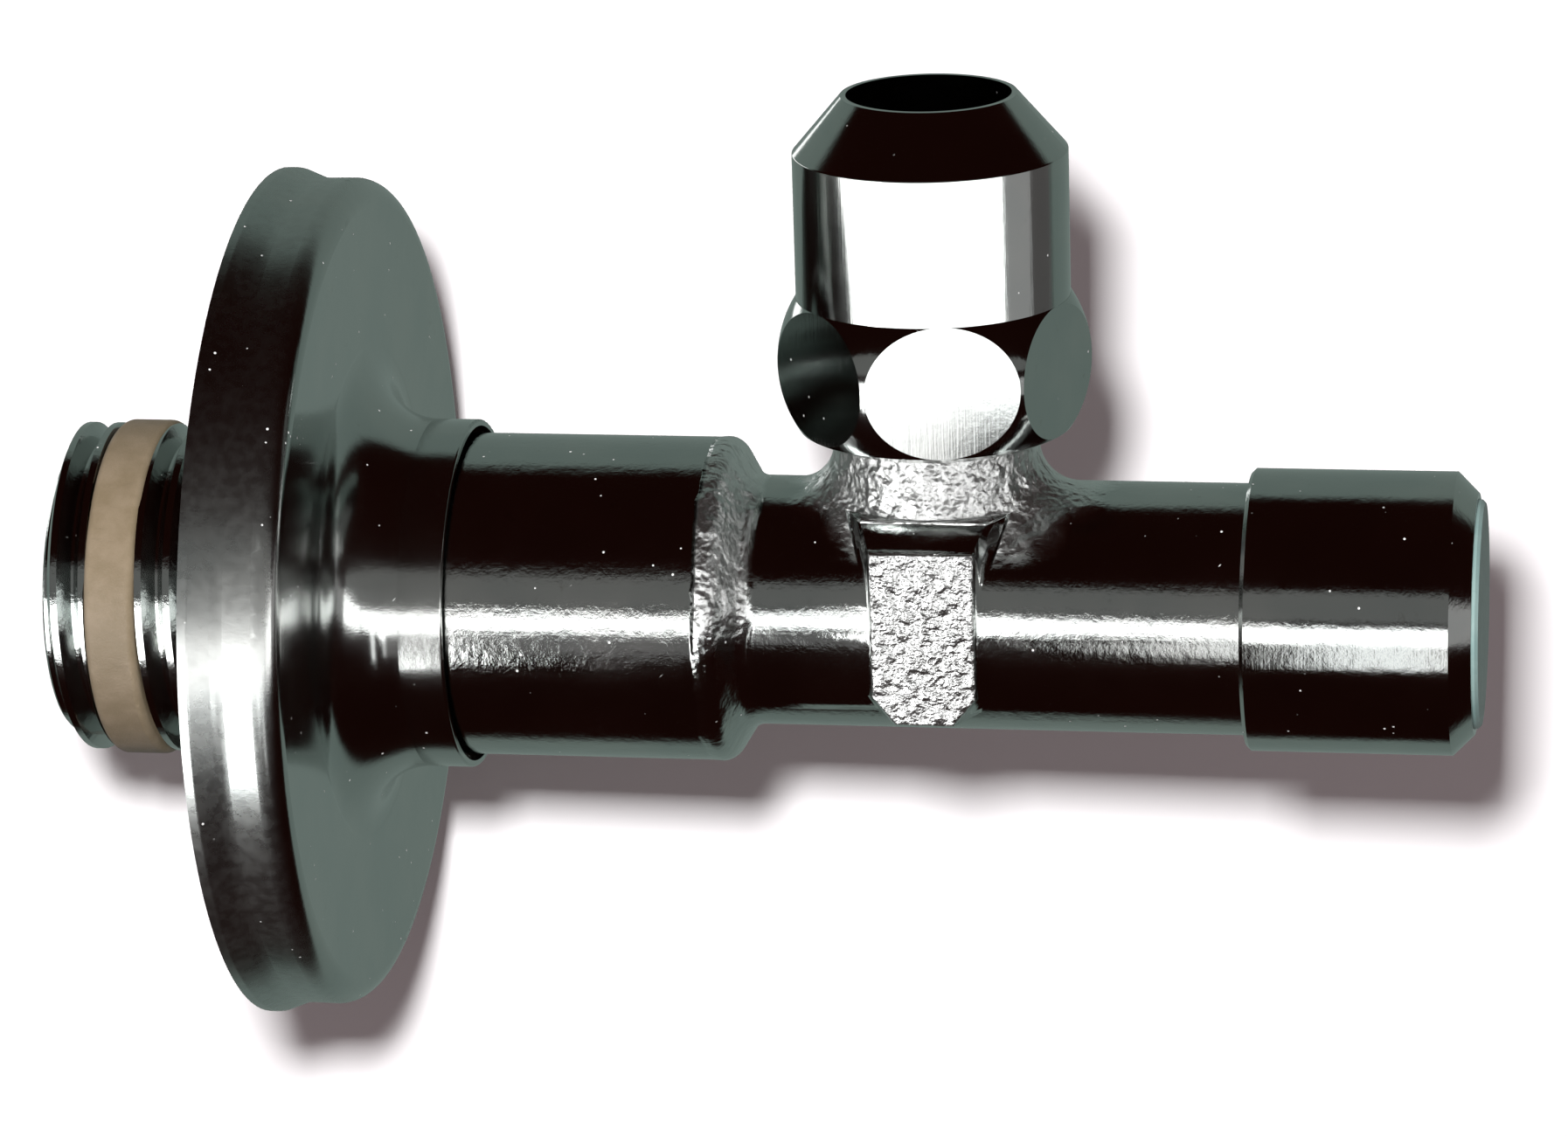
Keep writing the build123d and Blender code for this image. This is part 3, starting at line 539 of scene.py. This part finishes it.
rubber = plastic("black_rubber", (0.018, 0.018, 0.018), (0.032, 0.031, 0.03), 0.6, 0.02)
brass = metal("turned_brass", (0.62, 0.44, 0.18), (0.74, 0.56, 0.27), 0.28)
steel = metal("plain_steel", (0.44, 0.44, 0.43), (0.56, 0.56, 0.55), 0.32)

FINISHES = {
    "rosette": sheet_chrome,
    "compression_nut": nut_chrome,
    "handle": handle_chrome,
    "inlet_seal_ring": tan,
    "handle_cap": pale,
    "compression_ring": brass,
    "bonnet": brass,
    "bonnet_gasket": fibre,
    "spindle": brass,
    "spindle_o_ring_inner": rubber,
    "spindle_o_ring_outer": rubber,
    "thrust_washer": white_plastic,
    "spindle_circlip": steel,
    "disc_carrier": brass,
    "seat_washer": rubber,
    "seat_washer_plate": brass,
    "seat_washer_screw": brass,
    "handle_screw": steel,
    "handle_lock_washer": steel,
    "valve_body": body_chrome,
}
for node, material in FINISHES.items():
    dress(nodes[node], material)


# Body with cut threads: the cast middle, and the two screwed ends turned anew


def body_casting():
    """The middle of the body, open where the screwed ends go on."""
    solid = nodes["valve_body"]
    casting = solid.copy()
    casting.data = solid.data.copy()
    scene.collection.objects.link(casting)
    place = solid.matrix_world.copy()
    casting.parent = None
    casting.matrix_world = place
    tidy_mesh(casting)
    cut(casting, (INLET_RUNOUT_END, 0, 0), (-1, 0, 0), False)
    cut(casting, (0, 0, SPIGOT_CUT), (0, 0, 1), False)
    return casting


def inlet_ridge(name, low, high):
    return ridge(
        name, False, low, high, INLET_ROOT_R, INLET_CREST_R, INLET_PITCH, INLET_FRONT_CREST
    )


def inlet_end():
    """The inlet tube, with a stretch of thread on each side of the seal ring's groove."""
    groove_start, groove_end = RING_GROOVE
    outline = [
        (INLET_END, 0, INLET_BORE_R + INLET_MOUTH),
        (INLET_END, 0, INLET_ROOT_R - INLET_EDGE),
        (INLET_END + INLET_EDGE, 0, INLET_ROOT_R),
        (groove_start, 0, INLET_ROOT_R),
        (groove_start, 0, RING_GROOVE_R),
        (groove_end, 0, RING_GROOVE_R),
        (groove_end, 0, INLET_ROOT_R),
        (INLET_RUNOUT - INLET_SLOPE, 0, INLET_ROOT_R),
        (INLET_RUNOUT_END, 0, BARREL_R),
        (INLET_RUNOUT_END, 0, INLET_BORE_R),
        (INLET_END + INLET_MOUTH, 0, INLET_BORE_R),
    ]
    tube = turned("inlet_tube", outline, (0, 0, 0), (1, 0, 0))
    outer = inlet_ridge("inlet_thread_outer", INLET_END + INLET_LEAD_IN, groove_start)
    inner = inlet_ridge("inlet_thread_inner", groove_end, INLET_RUNOUT)
    return tube, outer, inner


def outlet_end():
    """The outlet spigot with its seat cone, pipe socket and thread."""
    half_outline = [
        (OUTLET_BORE_R, SPIGOT_CUT - SPIGOT_SINK),
        (SPIGOT_ROOT_R, SPIGOT_CUT - SPIGOT_SINK),
        (SPIGOT_ROOT_R, SPIGOT_TOP - LIP_HEIGHT),
        (SEAT_CONE_R - LIP_OUTER, SPIGOT_TOP - LIP_DROP),
        (SEAT_CONE_R - LIP_INNER, SPIGOT_TOP - LIP_HEIGHT),
        (SOCKET_R, SPIGOT_TOP - SEAT_CONE_DEPTH),
        (SOCKET_R, SOCKET_STOP),
        (OUTLET_BORE_R, SOCKET_STOP),
    ]
    outline = [(OUTLET_X + r, 0, z) for r, z in half_outline]
    spigot = turned("outlet_spigot", outline, (OUTLET_X, 0, 0), (0, 0, 1))
    thread = ridge(
        "outlet_thread",
        True,
        SPIGOT_CUT,
        SPIGOT_TOP - SPIGOT_LEAD_IN,
        SPIGOT_ROOT_R,
        SPIGOT_CREST_R,
        SPIGOT_PITCH,
        SPIGOT_Z,
    )
    return spigot, thread


def even_shading(obj):
    pick(obj)
    bpy.ops.object.shade_smooth_by_angle(angle=math.radians(SHARP_ANGLE))
    even = obj.modifiers.new("even_shading", "WEIGHTED_NORMAL")
    even.mode = "FACE_AREA"
    even.weight = 100
    even.keep_sharp = True
    apply_modifier(obj, even)


body = joined("threaded_valve_body", body_casting(), *inlet_end(), *outlet_end())
dress(body, body_chrome)
even_shading(body)
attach(body, "base")
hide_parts("valve_body")


# Studio


def view_axes(azimuth, elevation):
    a, e = math.radians(azimuth), math.radians(elevation)
    back = Vector((math.sin(a) * math.cos(e), -math.cos(a) * math.cos(e), math.sin(e)))
    right = Vector((math.cos(a), math.sin(a), 0))
    return right, back.cross(right), back


def facing(azimuth, elevation, distance, centre=STUDIO_CENTRE):
    """A place round the valve, turned to look back at it."""
    right, up, back = view_axes(azimuth, elevation)
    place = Matrix((right, up, back)).transposed().to_4x4()
    place.translation = (Vector(centre) + back * distance) * MM
    return place


def ahead(x, z):
    """A place in front of the valve, looking at it squarely."""
    return facing(0, 0, STRIP_DISTANCE, (x, 0, z))


def beside(azimuth):
    """A place round the side of the valve, as far off as the front strip."""
    return facing(azimuth, STRIP_DIP, STRIP_DISTANCE)


def photograph_camera():
    right, up, back = view_axes(VIEW_AZIMUTH, VIEW_ELEVATION)
    roll = math.radians(VIEW_ROLL)
    rolled_right = right * math.cos(roll) - up * math.sin(roll)
    rolled_up = right * math.sin(roll) + up * math.cos(roll)
    place = Matrix((rolled_right, rolled_up, back)).transposed().to_4x4()
    place.translation = (Vector(VIEW_TARGET) + back * VIEW_DISTANCE) * MM
    data = bpy.data.cameras.new("photograph_view")
    data.sensor_width = SENSOR
    data.lens = VIEW_FOCAL_PIXELS / IMAGE_WIDTH * SENSOR
    data.clip_start = NEAR_CLIP * MM
    camera = bpy.data.objects.new("photograph_view", data)
    scene.collection.objects.link(camera)
    camera.matrix_world = place
    return camera


def lamp(name, place, width, height, radiance, colour=(1, 1, 1)):
    data = bpy.data.lights.new(name, "AREA")
    data.shape = "RECTANGLE"
    data.size, data.size_y = width * MM, height * MM
    data.energy = radiance * math.pi * data.size * data.size_y
    data.color = colour
    obj = bpy.data.objects.new(name, data)
    scene.collection.objects.link(obj)
    obj.matrix_world = place
    obj.visible_camera = False
    return obj


def strip(name, place, width, height, radiance, colour=(1, 1, 1)):
    """A lamp that is seen in the plating only."""
    lamp(name, place, width, height, radiance, colour).visible_diffuse = False


def soft_key():
    """The lamp near the camera, which lights paper and plastics and doesn't show in the plating."""
    place = facing(VIEW_AZIMUTH - KEY_ASIDE, VIEW_ELEVATION + KEY_ABOVE, KEY_DISTANCE)
    key = lamp("soft_key", place, KEY_SIZE, KEY_SIZE, 1.0)
    key.data.energy = KEY_POWER
    key.visible_glossy = False


def stage_material(name, build):
    material = bpy.data.materials.new(name)
    material.use_nodes = True
    tree = material.node_tree
    for node in list(tree.nodes):
        if node.type != "OUTPUT_MATERIAL":
            tree.nodes.remove(node)
    build(tree, tree.nodes["Material Output"].inputs["Surface"])
    return material


def paper(tree, surface):
    """White paper, seen only from its front."""
    sheet = tree.nodes.new("ShaderNodeBsdfDiffuse")
    sheet.inputs["Color"].default_value = (*PAPER_WHITE, 1)
    clear = tree.nodes.new("ShaderNodeBsdfTransparent")
    side = tree.nodes.new("ShaderNodeNewGeometry")
    mix = tree.nodes.new("ShaderNodeMixShader")
    tree.links.new(side.outputs["Backfacing"], mix.inputs[0])
    tree.links.new(sheet.outputs[0], mix.inputs[1])
    tree.links.new(clear.outputs[0], mix.inputs[2])
    tree.links.new(mix.outputs[0], surface)


def two_tone_cloth(tree, surface):
    """Dark cloth behind the camera and grey cloth behind the valve."""
    coords = tree.nodes.new("ShaderNodeTexCoord")
    way = tree.nodes.new("ShaderNodeVectorMath")
    way.operation = "NORMALIZE"
    towards = tree.nodes.new("ShaderNodeVectorMath")
    towards.operation = "DOT_PRODUCT"
    towards.inputs[1].default_value = -view_axes(VIEW_AZIMUTH, VIEW_ELEVATION - GREY_TILT)[2]
    edge = tree.nodes.new("ShaderNodeMapRange")
    edge.interpolation_type = "SMOOTHSTEP"
    outer, inner = GREY_HALF_ANGLE + GREY_EDGE, GREY_HALF_ANGLE - GREY_EDGE
    edge.inputs["From Min"].default_value = math.cos(math.radians(outer))
    edge.inputs["From Max"].default_value = math.cos(math.radians(inner))
    mix = tree.nodes.new("ShaderNodeMix")
    mix.data_type = "RGBA"
    mix.inputs[6].default_value = (*DARK_CLOTH, 1)
    mix.inputs[7].default_value = (*GREY_CLOTH, 1)
    sheet = tree.nodes.new("ShaderNodeEmission")
    tree.links.new(coords.outputs["Object"], way.inputs[0])
    tree.links.new(way.outputs["Vector"], towards.inputs[0])
    tree.links.new(towards.outputs["Value"], edge.inputs["Value"])
    tree.links.new(edge.outputs["Result"], mix.inputs[0])
    tree.links.new(mix.outputs[2], sheet.inputs["Color"])
    tree.links.new(sheet.outputs[0], surface)


def paper_sheet():
    deselect()
    bpy.ops.mesh.primitive_plane_add(size=1)
    sheet = bpy.context.object
    sheet.name = "table_top"
    size = Matrix.Diagonal((PAPER_WIDTH * MM, PAPER_HEIGHT * MM, 1, 1))
    sheet.matrix_world = facing(VIEW_AZIMUTH, VIEW_ELEVATION, -PAPER_BEHIND) @ size
    sheet.visible_glossy = False
    dress(sheet, stage_material("white_paper", paper))
    return sheet


def cloth_hood():
    deselect()
    bpy.ops.mesh.primitive_uv_sphere_add(segments=48, ring_count=24, radius=HOOD_R * MM)
    hood = bpy.context.object
    hood.name = "cloth_hood"
    cloth = stage_material("two_tone_cloth", two_tone_cloth)
    cloth.cycles.emission_sampling = "NONE"
    dress(hood, cloth)
    hood.visible_camera = False
    hood.visible_diffuse = False
    hood.visible_shadow = False
    return hood


def studio_world():
    """White to the camera and to mirror rays, and a faint warm fill for the rest."""
    world = bpy.data.worlds.new("studio")
    world.use_nodes = True
    tree = world.node_tree
    mix = tree.nodes.new("ShaderNodeMixShader")
    light_path = tree.nodes.new("ShaderNodeLightPath")
    seen = light_path.outputs["Is Camera Ray"]
    for ray in ("Is Glossy Ray", "Is Transmission Ray"):
        either = tree.nodes.new("ShaderNodeMath")
        either.operation = "MAXIMUM"
        tree.links.new(seen, either.inputs[0])
        tree.links.new(light_path.outputs[ray], either.inputs[1])
        seen = either.outputs[0]
    tree.links.new(seen, mix.inputs[0])
    unseen_and_seen = ((FILL_TINT, FILL_STRENGTH), ((1, 1, 1), 1.0))
    for socket, (colour, strength) in zip(mix.inputs[1:], unseen_and_seen):
        backdrop = tree.nodes.new("ShaderNodeBackground")
        backdrop.inputs["Color"].default_value = (*colour, 1)
        backdrop.inputs["Strength"].default_value = strength
        tree.links.new(backdrop.outputs[0], socket)
    tree.links.new(mix.outputs[0], tree.nodes["World Output"].inputs["Surface"])
    return world


scene.camera = photograph_camera()
strip("front_strip", ahead(32, -4), 172, STRIP_HEIGHT, STRIP_LIGHT)
strip("left_strip", beside(-62), 150, STRIP_HEIGHT, STRIP_LIGHT)
strip("right_strip", beside(53), 70, STRIP_HEIGHT, STRIP_LIGHT)
strip("right_dim_strip", beside(82), 55, STRIP_HEIGHT, 0.45)
strip("right_faint_strip", beside(107), 50, STRIP_HEIGHT, 0.12)
strip("low_strip", ahead(3, -34), 36, 34, 0.17)
strip("low_left_strip", ahead(-50, -45), 62, 58, 7.5)
strip("nut_strip", ahead(30, -20), 20, 10, 5.0)
strip("low_middle_strip", ahead(25.5, -34), 8.5, 34, 1.1)
strip("low_right_strip", ahead(63.5, -39), 13, 46, 2.0)
strip("front_glow", facing(4, 20, 260), 1600, 110, 0.2, GLOW_TINT)
lamp("back_strip", facing(228, 8, 300), 220, 40, 2.0)
soft_key()
table_top = paper_sheet()
hood = cloth_hood()
scene.world = studio_world()
scene.view_settings.view_transform = "Standard"
